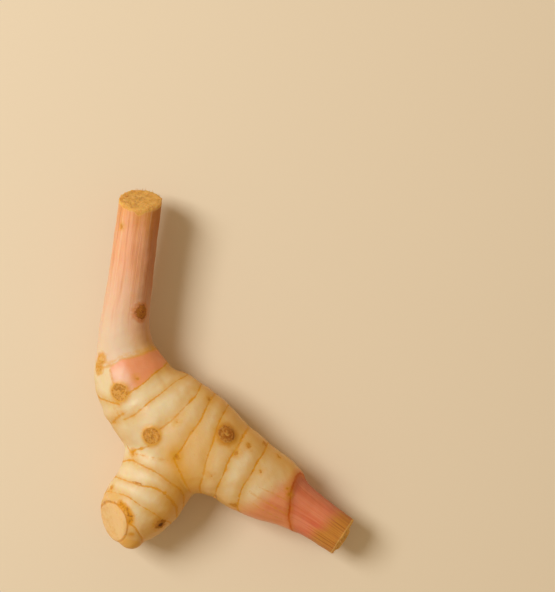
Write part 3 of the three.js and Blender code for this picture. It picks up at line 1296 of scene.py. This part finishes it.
class SkinReading:
    """What the skin's finish reads from the piece."""

    STRIPE_SHORTENING = 0.025  # how far a limb's length is squeezed before its stripes are drawn
    ELSEWHERE = 20.0  # added to a distance on the limb that it doesn't count for

    def __init__(self, graph: Graph) -> None:
        """Reads the places, the distances and the noises that several layers use.

        Args:
            graph: The finish's graph.
        """
        self.graph = graph
        self.point = graph.point()
        self.body, self.stub, self.stem, self.shoot = (
            Place(*graph.attribute(f"{limb.name}_place")) for limb in (TRUNK, STUB, STEM, SHOOT)
        )
        self.off_face, self.stem_end, self.shoot_end = graph.attribute("ends")
        body_out, stub_out, self.shoot_out = graph.attribute("limb_outsides")
        self.bud_out, self.bud_seam, self.torn = graph.attribute("end_lines")
        self.fork_line, self.fork_faint_line, self.fork_crease = graph.attribute("fork_lines")
        self.blotch = graph.noise(self.point, 8.0, 3.0)
        self.patch = graph.noise(self.point, 3.2, 3.0, 0.55)
        self.ragged = graph.noise(self.point, 1.5, 3.0, 0.6)
        self.speckle = graph.noise(self.point, 0.6, 2.0, 0.6)
        self.stub_share = body_out - stub_out
        self.on_stub = self.stub_share.ramp(-0.25, 0.25)
        body_gap = TRUNK.nearest_line(self.body) + self.on_stub * self.ELSEWHERE
        stub_gap = STUB.nearest_line(self.stub) + (1 - self.on_stub) * self.ELSEWHERE
        self.ring_gap = body_gap.least(stub_gap)
        self.internode = self.ring_gap.ramp(0.8, 4.5)
        normal = graph.add("ShaderNodeNewGeometry", {}, {}).outputs["Normal"]
        sockets = {0: normal, 1: LAMP_DIRECTION}
        lamp_dot = graph.add("ShaderNodeVectorMath", {"operation": "DOT_PRODUCT"}, sockets)
        self.facing_lamp = Value(graph, lamp_dot.outputs["Value"])

    def painted_shade_share(self) -> Value:
        """How much painted shade a place gets, by how far it is turned away from the lamp, from 0
        to 1.
        """
        return (self.facing_lamp + (self.blotch - 0.5) * 0.3).ramp(0.95, 0.1)

    def under(self) -> Value:
        """How strongly the painted shade shows: 1 on the flanks, and half on the underside."""
        return self.facing_lamp.ramp(-0.75, -0.1) * 0.5 + 0.5

    def collar(self) -> Value:
        """How far past the ring that the shoot breaks out of a place is."""
        return TRUNK.rings[-1].gap(self.body, self.body.waves())

    def foot(self) -> Value:
        """How far past the stem's foot a place on the body is.

        Returns:
            The distance in millimetres, below zero on the stem.
        """
        slope = self.body.facing(FOOT_ANGLE + 10).ramp(0.0, 1.0) * FOOT_SLOPE
        dip = self.body.facing(FOOT_ANGLE).ramp(0.8, 1.0) * FOOT_DIP
        return self.body.along - FOOT_ALONG - slope - dip + (self.patch - 0.5) * 1.2

    def stripes(self, place: Place, radius: float, width: float, detail: float = 2.0) -> Value:
        """Noise drawn out along a limb.

        Args:
            place: The places on the limb.
            radius: The limb's radius.
            width: The width of a stripe.
            detail: How many finer layers it has.

        Returns:
            The noise, about 0.5.
        """
        lengthwise = place.along * (width * self.STRIPE_SHORTENING)
        drawn = self.graph.vector(place.cosine * radius, place.sine * radius, lengthwise)
        return self.graph.noise(drawn, width, detail, 0.55)

    def wander(self, ragged: float, patch: float = 0.0, speckle: float = 0.0) -> Value:
        """Unevenness about 0, the sum of three noises.

        Args:
            ragged: The share of the middling noise.
            patch: The share of the broader noise.
            speckle: The share of the finest noise.

        Returns:
            The sum.
        """
        shares = ((self.ragged, ragged), (self.patch, patch), (self.speckle, speckle))
        return sum((grain - 0.5) * share for grain, share in shares if share)

    def mark_gap(self, *barks: Bark) -> Value:
        """How far outside the nearest mark of some kinds a place is, below zero inside."""
        marks = [mark for mark in MARKS if mark.bark in barks]
        return nearest_of([self.graph.distance(self.point, m.centre()) - m.radius for m in marks])


@dataclass(frozen=True)
class SkinFinish:
    """Waxy cream skin with tan ring lines, corky scars, and a blush at the young parts."""

    cream: Tone = Tone(227, 198, 144)
    pale: Tone = Tone(234, 216, 176)
    straw: Tone = Tone(222, 176, 108)
    # Also laid as painted shade on the flanks and in the fork's crease, and as a painted shadow
    # beside the fork.
    ochre: Tone = Tone(224, 160, 20)
    halo: Tone = Tone(224, 168, 74)
    line: Tone = Tone(222, 152, 12)
    dark_line: Tone = Tone(182, 106, 8)
    collar_line: Tone = Tone(200, 78, 4)
    collar_halo: Tone = Tone(214, 110, 20)
    speck: Tone = Tone(208, 138, 12)
    shoot_shade: Tone = Tone(170, 70, 26)
    blush: Tone = Tone(236, 146, 98)
    deep_blush: Tone = Tone(222, 118, 66)
    bright_blush: Tone = Tone(236, 182, 152)
    foot_pale: Tone = Tone(228, 201, 170)
    stem_pink: Tone = Tone(236, 174, 130)
    stem_milk: Tone = Tone(232, 196, 166)
    stem_gold: Tone = Tone(230, 160, 84)
    stem_dark: Tone = Tone(204, 122, 64)
    stem_light: Tone = Tone(244, 208, 168)
    stem_shade: Tone = Tone(156, 80, 16)
    shoot_pink: Tone = Tone(222, 124, 84)
    shoot_light: Tone = Tone(230, 144, 104)
    shoot_red: Tone = Tone(202, 74, 48)
    shoot_dark: Tone = Tone(190, 92, 52)
    shoot_tan: Tone = Tone(206, 140, 56)
    shoot_brown: Tone = Tone(172, 100, 32)
    cork: Tone = Tone(206, 142, 44)
    cork_dark: Tone = Tone(156, 92, 18)
    cork_pale: Tone = Tone(232, 184, 106)
    face_tone: Tone = Tone(236, 196, 134)
    flesh: Tone = Tone(228, 174, 90)
    # The hole's dark core: painted shade of its depth.
    pit_shade: Tone = Tone(96, 54, 14)
    # The swirled scar's dark rounds: its own brown, deepened as painted shadow.
    swirl_dark_and_shadow: Tone = Tone(160, 92, 4)
    healed: Tone = Tone(142, 72, 10)
    healed_edge: Tone = Tone(206, 124, 40)
    roughness: float = 0.4
    dulling: float = 0.45  # how much rougher cork and fibres are
    shine: float = 0.32
    coat: float = 0.1
    coat_roughness: float = 0.3
    glow: float = 0.42  # how much of the light goes through the flesh
    glow_depth: float = 2.6
    glow_spread: tuple[float, float, float] = (1.0, 0.5, 0.15)

    def build(self) -> bpy.types.Material:
        """Builds the material.

        Returns:
            The finished material.
        """
        graph = Graph("rhizome_skin")
        read = SkinReading(graph)
        middle = read.internode * 0.8 + (read.blotch - 0.5) * 0.6
        plain = graph.mix(middle, self.cream, self.pale)
        layers = Layers(graph, plain, read.ring_gap.ramp(0.9, 0.1) * 0.5)
        self._body(read, layers)
        self._stem(read, layers)
        self._arm(read, layers)
        self._shoot(read, layers)
        self._lines(read, layers)
        self._marks(read, layers)
        self._stub_face(read, layers)
        self._ends(read, layers)
        layers.raise_by(read.wander(0.0, 0.05, 0.05))
        relief = {"Strength": 1.0, "Distance": MM, "Height": layers.height}
        bump = graph.add("ShaderNodeBump", {}, relief)
        rough = read.wander(0.0, 0.1, 0.16) + layers.dull * self.dulling + self.roughness
        return graph.finish(
            {
                "Base Color": layers.colour,
                "Roughness": rough,
                "Subsurface Weight": self.glow,
                "Subsurface Radius": self.glow_spread,
                "Subsurface Scale": self.glow_depth * MM,
                "Specular IOR Level": self.shine,
                "Coat Weight": (1.0 - layers.dull) * self.coat,
                "Coat Roughness": self.coat_roughness,
                "Normal": bump.outputs[0],
            }
        )

    def _body(self, read: SkinReading, layers: Layers) -> None:
        """Straw patches, fine speckles, painted shade in a deeper tone on the flanks turned away
        from the lamp, painted shade in the fork's crease and a painted shadow on the top beside the
        fork.

        Args:
            read: What the finish reads.
            layers: The layers, laid on further.
        """
        layers.lay(read.patch.ramp(0.52, 0.8), self.straw, 0.15)
        grains = read.graph.cells(read.point, 2.4)
        layers.lay(grains.ramp(0.14, 0.05) * read.ragged.ramp(0.5, 0.62), self.line, 0.4)
        # Painted shade: the ochre tone on the flanks turned away from the lamp, halved on the
        # underside.
        layers.lay(read.painted_shade_share() * read.under(), self.ochre, 0.8)
        layers.lay(read.off_face.ramp(5.5, 0.5) * read.patch.ramp(0.1, 0.5), self.ochre, 0.55)
        # Painted shade in the fork's crease: the ochre tone and a deeper line tone.
        layers.lay(read.fork_crease.ramp(8.5, 0.5) * read.blotch.ramp(0.2, 0.45), self.ochre, 0.55)
        layers.lay(read.fork_crease.ramp(4.5, 0.5), self.line, 0.25)
        # A painted shadow on the top beside the fork.
        layers.lay(read.graph.distance(read.point, PAINTED_SHADOW_MIDDLE).ramp(20.0, 5.0), self.ochre, 0.42)

    def _stem(self, read: SkinReading, layers: Layers) -> None:
        """The stem's gold, pink and cream, drawn out in stripes, with painted light keeping the
        side that faces the lamp paler and painted shade on the side turned away.

        Args:
            read: What the finish reads.
            layers: The layers, laid on further.
        """
        graph, along = read.graph, read.stem.along
        on_stem = read.foot().ramp(0.45, -0.45)
        fine = read.stripes(read.stem, 9.0, 1.0, 3.0)
        broad = read.stripes(read.stem, 9.0, 3.0)
        # Painted light: on the side facing the lamp the stem's paler tones start further up.
        shift = along + (broad - 0.5) * 26.0 + read.facing_lamp.ramp(0.4, 0.95) * 8.0
        tone = graph.mix(shift.ramp(16.0, 34.0), self.stem_gold, self.stem_pink)
        # Painted shade: the ochre tone on the foot's flanks turned away from the lamp.
        foot = graph.mix(read.painted_shade_share() * read.under() * 0.7, self.foot_pale, self.ochre)
        tone = graph.mix(shift.ramp(40.0, 58.0) * 0.6, tone, self.stem_milk)
        tone = graph.mix(shift.ramp(56.0, 78.0), tone, foot)
        strength = along.ramp(74.0, 40.0)
        tone = graph.mix(fine.ramp(0.56, 0.76) * strength * 0.7, tone, self.stem_light)
        tone = graph.mix(fine.ramp(0.46, 0.28) * strength * 0.65, tone, self.stem_dark)
        tone = graph.mix(broad.ramp(0.5, 0.3) * strength * 0.38, tone, self.stem_dark)
        shade = read.facing_lamp.ramp(0.6, -0.3)
        tone = graph.mix(shade * (along.ramp(72.0, 30.0) * 0.3 + 0.35), tone, self.stem_shade)
        layers.lay(on_stem, tone)
        layers.dull = layers.dull.most(on_stem * (shade * 0.4 + 0.4))
        layers.raise_by((fine - 0.5) * on_stem * strength * 0.3)
        before_ring = TRUNK.rings[0].gap(read.body, read.body.waves()).ramp(0.2, -0.2)
        young = (1 - on_stem) * before_ring * read.body.facing(150).ramp(0.02, 0.12)
        young = young * read.body.facing(105).ramp(-0.65, 0.0)
        fading = read.body.facing(74).ramp(0.9, 1.0) * read.body.along.ramp(7.0, 12.0)
        blush = graph.mix((read.patch - 0.5) * 0.6 + fading, self.blush, self.bright_blush)
        layers.lay(young, blush, 0.85)
        above = read.body.facing(100).ramp(-0.2, 0.5)
        halo = abs(read.foot() + 1.0).ramp(2.2, 0.2) * read.patch.ramp(0.34, 0.62)
        layers.lay(halo * above, self.ochre, 0.5)
        layers.lay(abs(read.foot() + 0.1).ramp(0.7, 0.1) * above, self.line, 0.45)

    def _arm(self, read: SkinReading, layers: Layers) -> None:
        """The blush on the arm's young end.

        Args:
            read: What the finish reads.
            layers: The layers, laid on further.
        """
        graph = read.graph
        past = read.body.along - 79.0 - (0.94 - read.body.cosine) * 8.2 + (read.blotch - 0.5) * 5.0
        blush = past.ramp(-1.5, 9.0) * (1 - read.on_stub)
        streaks = read.stripes(read.body, 10.0, 1.6, 3.0)
        tone = graph.mix(streaks.ramp(0.3, 0.62) * 0.65 + 0.35, self.deep_blush, self.blush)
        layers.lay(blush, tone, 0.85)
        layers.raise_by((streaks - 0.5) * blush * 0.04)

    def _shoot(self, read: SkinReading, layers: Layers) -> None:
        """The shoot's pink sheath, its red streaks and its dry tan end.

        Args:
            read: What the finish reads.
            layers: The layers, laid on further.
        """
        graph, along = read.graph, read.shoot.along
        on_shoot = read.collar().ramp(-0.1, 0.25)
        fine = read.stripes(read.shoot, 8.6, 0.55, 2.0)
        broad = read.stripes(read.shoot, 8.6, 2.6)
        tone = graph.mix(broad.ramp(0.38, 0.66), self.shoot_pink, self.shoot_light)
        tone = graph.mix(fine.ramp(0.48, 0.34) * 0.3, tone, self.shoot_dark)
        streak = read.shoot.facing(60).ramp(0.75, 1.0) * fine.ramp(0.6, 0.4)
        tone = graph.mix(along.ramp(14.0, 24.0) * streak * 0.5, tone, self.shoot_red)
        shift = along + read.shoot.cosine * 2.5 + (broad - 0.5) * 7.0 + (fine - 0.5) * 5.0
        dry = shift.ramp(23.0, 30.0)
        straw = graph.mix(fine.ramp(0.3, 0.52), self.shoot_brown, self.shoot_tan)
        tone = graph.mix(dry, tone, straw)
        shade = read.facing_lamp.ramp(0.6, -0.3)
        tone = graph.mix(shade * 0.55, tone, self.shoot_shade)
        layers.lay(on_shoot, tone)
        layers.dull = layers.dull.most(on_shoot * (shade * 0.5 + dry * 0.3))
        layers.raise_by((fine - 0.5) * on_shoot * (dry * 0.12 + 0.1))
        layers.raise_by((broad - 0.5) * on_shoot * 0.06)

    def _lines(self, read: SkinReading, layers: Layers) -> None:
        """The leaf scars' lines with their halos, thick places and breaks.

        Args:
            read: What the finish reads.
            layers: The layers, laid on further.
        """
        fork = abs(read.stub_share) + read.stub.facing(-90).ramp(0.2, -0.3) * 3.0
        gap = read.ring_gap.least(fork).least(read.fork_line).least(read.fork_crease)
        gap = gap.least(read.fork_faint_line + 0.36)
        gap += read.wander(1.3, 0.7, 0.4)
        layers.lay(gap.ramp(2.4, 0.2) * read.patch.ramp(0.34, 0.66), self.halo, 0.55)
        weight = read.blotch.ramp(0.34, 0.58) * 0.45 + 0.55
        thick = (read.patch - 0.5) * 1.5
        line = (gap - thick).ramp(0.66, 0.12) * weight
        layers.lay(line, self.line, 0.9)
        layers.lay((gap - thick).ramp(0.5, 0.0) * read.ragged.ramp(0.5, 0.68), self.dark_line, 0.75)
        layers.lay((read.fork_crease + read.wander(1.6)).ramp(0.8, 0.1), self.line, 0.6)
        layers.raise_by(line * -0.03)
        collar = abs(read.collar()) + read.wander(1.4, 1.0)
        layers.lay(collar.ramp(3.2, 0.3) * (1 - read.on_stub), self.collar_halo, 0.5)
        weight = read.patch.ramp(0.36, 0.6) * 0.5 + 0.5
        layers.lay(collar.ramp(0.9, 0.1) * (1 - read.on_stub) * weight, self.collar_line, 0.8, 0.5)
        vein = TRUNK.nearest_vein(read.body) + read.on_stub * read.ELSEWHERE + read.wander(0.9, 1.6)
        layers.lay(vein.ramp(0.6, 0.15) * read.patch.ramp(0.3, 0.55), self.line, 0.6)

    def _marks(self, read: SkinReading, layers: Layers) -> None:
        """The root scars, the flaky patches, the specks and the hole.

        Args:
            read: What the finish reads.
            layers: The layers, laid on further.
        """
        graph = read.graph
        grains = graph.cells(read.point, 0.75)
        cork = graph.mix(grains.ramp(0.25, 0.6) * 0.55, self.cork, self.cork_pale)
        cork = graph.mix(read.ragged.ramp(0.54, 0.36) * 0.35, cork, self.cork_dark)
        scar = read.mark_gap(Bark.CORKY, Bark.SWIRLED) + read.wander(0.6, 1.2)
        # Painted shade: scars are painted darker on the side turned away from the lamp, and the
        # flaky patches solid there.
        shade = read.facing_lamp.ramp(0.6, -0.1) * 0.4
        cork = graph.mix(shade, cork, self.cork_dark)
        layers.lay(scar.ramp(2.6, 0.1) * read.patch.ramp(0.2, 0.55), self.halo, 0.8)
        layers.lay(scar.ramp(1.3, 0.0), self.ochre, 0.6)
        swirled = read.mark_gap(Bark.SWIRLED) + read.wander(1.0, 2.0)
        layers.lay(swirled.ramp(4.2, 0.6), self.ochre, 0.5)
        layers.lay(swirled.ramp(2.6, -0.4), self.dark_line, 0.55)
        layers.lay(scar.ramp(0.35, -0.1), cork, 0.95, 1.0)
        # The swirled scar's dark rounds, its own brown deepened with a painted shadow.
        layers.lay(swirled.ramp(0.3, -0.8) * read.ragged.ramp(0.86, 0.36), self.swirl_dark_and_shadow, 0.85)
        layers.lay(scar.ramp(-1.0, -2.6) * read.ragged.ramp(0.62, 0.44), self.cork_dark, 0.4)
        rim = abs(scar + 0.25).ramp(0.6, 0.1) * read.patch.ramp(0.35, 0.6)
        layers.lay(rim, self.cork_dark, 0.3)
        flaky = read.mark_gap(Bark.FLAKY) + read.wander(3.0)
        layers.lay(flaky.ramp(1.8, 0.0), self.ochre, 0.7)
        broken = shade.most(read.ragged.ramp(0.4, 0.52))
        layers.lay(flaky.ramp(0.3, -0.4) * broken, cork, 0.95, 1.0)
        healed = read.mark_gap(Bark.HEALED) + read.wander(3.0)
        layers.lay(healed.ramp(2.0, 0.0), self.healed_edge, 0.7)
        layers.lay(healed.ramp(0.2, -0.6), self.healed, 0.9, 1.0)
        layers.lay(healed.ramp(-0.2, -1.0) * grains.ramp(0.2, 0.5), self.cork, 0.45)
        speck = read.mark_gap(Bark.SPECK) + read.wander(3.4, 0.0, 1.0)
        layers.lay(speck.ramp(2.2, -0.3), self.ochre, 0.4)
        layers.lay(speck.ramp(0.2, -0.9), self.speck, 0.75, 0.7)
        layers.lay(speck.ramp(-0.3, -1.2) * read.speckle.ramp(0.4, 0.55), self.dark_line, 0.45)
        hole = read.mark_gap(Bark.PIT)
        lip = hole + read.wander(4.0)
        layers.lay(lip.ramp(2.6, 0.3), self.line, 0.7)
        layers.lay(lip.ramp(1.0, -0.1), self.cork_dark, 0.65, 1.0)
        # Painted shade in the hole's core.
        layers.lay((hole + read.wander(1.4)).ramp(-0.8, -1.4), self.pit_shade, 0.9, 1.0)
        layers.raise_by(scar.ramp(0.2, -0.2) * (grains - 0.5) * 0.12)

    def _stub_face(self, read: SkinReading, layers: Layers) -> None:
        """The stub's healed face, its rim and torn edge, and the bud beside it.

        Args:
            read: What the finish reads.
            layers: The layers, laid on further.
        """
        graph = read.graph
        layers.lay(read.bud_out.ramp(0.3, -0.2), self.ochre, 0.45)
        spot = graph.distance(read.point, BUD_SPOT) + read.wander(2.0)
        layers.lay(spot.ramp(1.9, 0.3), self.line, 0.8)
        seam = (read.bud_seam + read.wander(0.6)).ramp(0.6, 0.15)
        layers.lay(seam, self.line, 0.85)
        layers.lay(seam * read.ragged.ramp(0.5, 0.66), self.dark_line, 0.5)
        off_face = read.off_face + read.wander(0.7)
        tone = graph.mix(read.patch.ramp(0.5, 0.75) * 0.5, self.face_tone, self.straw)
        tone = graph.mix(graph.cells(read.point, 1.5).ramp(0.2, 0.08) * 0.5, tone, self.line)
        layers.lay(off_face.ramp(0.2, -0.2), tone)
        rim = abs(off_face + 0.2).ramp(0.6, 0.1)
        layers.lay(rim * (read.ragged.ramp(0.35, 0.6) * 0.5 + 0.5), self.line, 0.8)
        layers.lay(rim * read.ragged.ramp(0.64, 0.44), self.dark_line, 0.6)
        torn = read.torn + read.wander(1.6)
        layers.lay(torn.ramp(TORN_HALF + 1.3, TORN_HALF), self.line, 0.7, 0.8)
        flecks = (read.ragged + read.speckle * 0.4).ramp(0.5, 0.74)
        tone = graph.mix(flecks, self.cork_dark, self.line)
        layers.lay(torn.ramp(TORN_HALF + 0.2, TORN_HALF - 0.6), tone, 0.8, 1.0)

    def _ends(self, read: SkinReading, layers: Layers) -> None:
        """The fibrous ends of the stem and the shoot.

        Args:
            read: What the finish reads.
            layers: The layers, laid on further.
        """
        graph = read.graph
        fibre = graph.mix(read.patch.ramp(0.56, 0.4) * 0.45, self.flesh, self.cork)
        fibre = graph.mix(read.ragged.ramp(0.42, 0.3) * 0.35, fibre, self.cork_dark)
        fibre = graph.mix(read.speckle.ramp(0.52, 0.66) * 0.6, fibre, self.cork_pale)
        behind = read.stem.facing(STEM_TONGUE_ANGLE).ramp(0.3, 0)
        aside = (abs(read.stem.off_angle(STEM_TONGUE_ANGLE)) + behind) * 9.0
        stem_end = read.stem_end - aside.ramp(2.8, 0.3) * 1.3 + read.wander(0.7)
        layers.lay(stem_end.ramp(1.2, 0.9), fibre, 1.0, 1.0)
        layers.lay(abs(stem_end - 1.2).ramp(0.3, 0.05), self.cork_pale, 0.5)
        shoot_end = read.shoot_end + read.wander(0.5)
        layers.lay(shoot_end.ramp(0.8, 0.4), fibre, 1.0, 1.0)
        rim = abs(shoot_end - 0.6).ramp(0.4, 0.1) * abs(read.shoot_out).ramp(1.0, 0.3)
        layers.lay(rim, self.cork_pale, 0.8)


@dataclass(frozen=True)
class DryFinish:
    """A dry papery or fibrous finish, streaked with two tones."""

    name: str
    light: Tone
    dark: Tone
    streak: float = 0.9

    def build(self) -> bpy.types.Material:
        """Builds the material.

        Returns:
            The finished material.
        """
        graph = Graph(self.name)
        streaks = graph.noise(graph.point(), self.streak, 3.0, 0.6)
        colour = graph.mix(streaks.ramp(0.35, 0.65), self.dark, self.light)
        return graph.finish({"Base Color": colour, "Roughness": 0.8})


@dataclass(frozen=True)
class PlainFinish:
    """A smooth even finish for the studio."""

    name: str
    tone: Tone
    roughness: float = 0.6

    def build(self) -> bpy.types.Material:
        """Builds the material."""
        sockets = {"Base Color": self.tone.linear, "Roughness": self.roughness}
        return Graph(self.name).finish(sockets)


# ---- The studio ----


@dataclass
class Studio:
    """A plain pale floor, one soft lamp and a camera that looks straight down."""

    view_centre: tuple[float, float] = (22.9, 31.1)  # what lies in the view's middle
    view_height: float = 248.6  # the length that the view's long side shows at `focus_level`
    focus_level: float = 17.0
    distance: float = 600.0
    sensor: float = 36.0
    floor_size: float = 4000.0
    floor_tone: Tone = Tone(236, 220, 192)
    air_tone: Tone = Tone(255, 226, 184)
    air_light: float = 0.4
    lamp_place: tuple[float, float, float] = (-860, 440, 1150)
    lamp_aim: tuple[float, float, float] = (-10, -10, 15)
    lamp_size: float = 620
    lamp_power: float = 15.4  # in watts

    def build(self) -> None:
        """Lays the floor, lights it and sets the camera."""
        self._floor()
        self._air()
        self._lamp()
        self._camera()
        bpy.context.scene.view_settings.view_transform = "Standard"

    def _floor(self) -> None:
        """The surface that the rhizome lies on."""
        shape = bmesh.new()
        bmesh.ops.create_grid(shape, x_segments=1, y_segments=1, size=self.floor_size * MM / 2)
        floor = piece_of(shape, "floor")
        floor.data.materials.append(PlainFinish("floor_paper", self.floor_tone, 0.8).build())

    def _air(self) -> None:
        """An even pale surround."""
        world = bpy.data.worlds.new("studio")
        world.use_nodes = True
        surround = world.node_tree.nodes["Background"]
        surround.inputs["Color"].default_value = self.air_tone.linear
        surround.inputs["Strength"].default_value = self.air_light
        bpy.context.scene.world = world

    def _lamp(self) -> None:
        """A square soft lamp that faces the rhizome."""
        light = bpy.data.lights.new("key", "AREA")
        light.shape = "SQUARE"
        light.size = self.lamp_size * MM
        light.energy = self.lamp_power
        lamp = linked("key", light)
        lamp.location = Vector(self.lamp_place) * MM
        aim = Vector(self.lamp_aim) * MM - lamp.location
        lamp.rotation_mode = "QUATERNION"
        lamp.rotation_quaternion = aim.to_track_quat("-Z", "Y")

    def _camera(self) -> None:
        """The camera, straight above the middle of the view."""
        optics = bpy.data.cameras.new("camera")
        optics.sensor_width = self.sensor
        optics.lens = self.sensor * self.distance / self.view_height
        camera = linked("camera", optics)
        camera.location = Vector((*self.view_centre, self.focus_level + self.distance)) * MM
        bpy.context.scene.camera = camera


def main() -> None:
    logging.basicConfig(level=logging.INFO, format="%(message)s")
    skin = Skin().build()
    surface = bmesh.new()
    surface.from_mesh(skin.data)
    pieces = [
        skin,
        Scales().build(BVHTree.FromBMesh(surface)),
        Fibres("stem_fibres", STEM, STEM_CUT, 90, 5).build(),
        Fibres("shoot_fibres", SHOOT, SHOOT_CUT, 60, 8, 0.9).build(),
    ]
    surface.free()
    for piece in pieces:
        log.info("%s: %d faces", piece.name, len(piece.data.polygons))
    Studio().build()


if __name__ == "__main__":
    main()
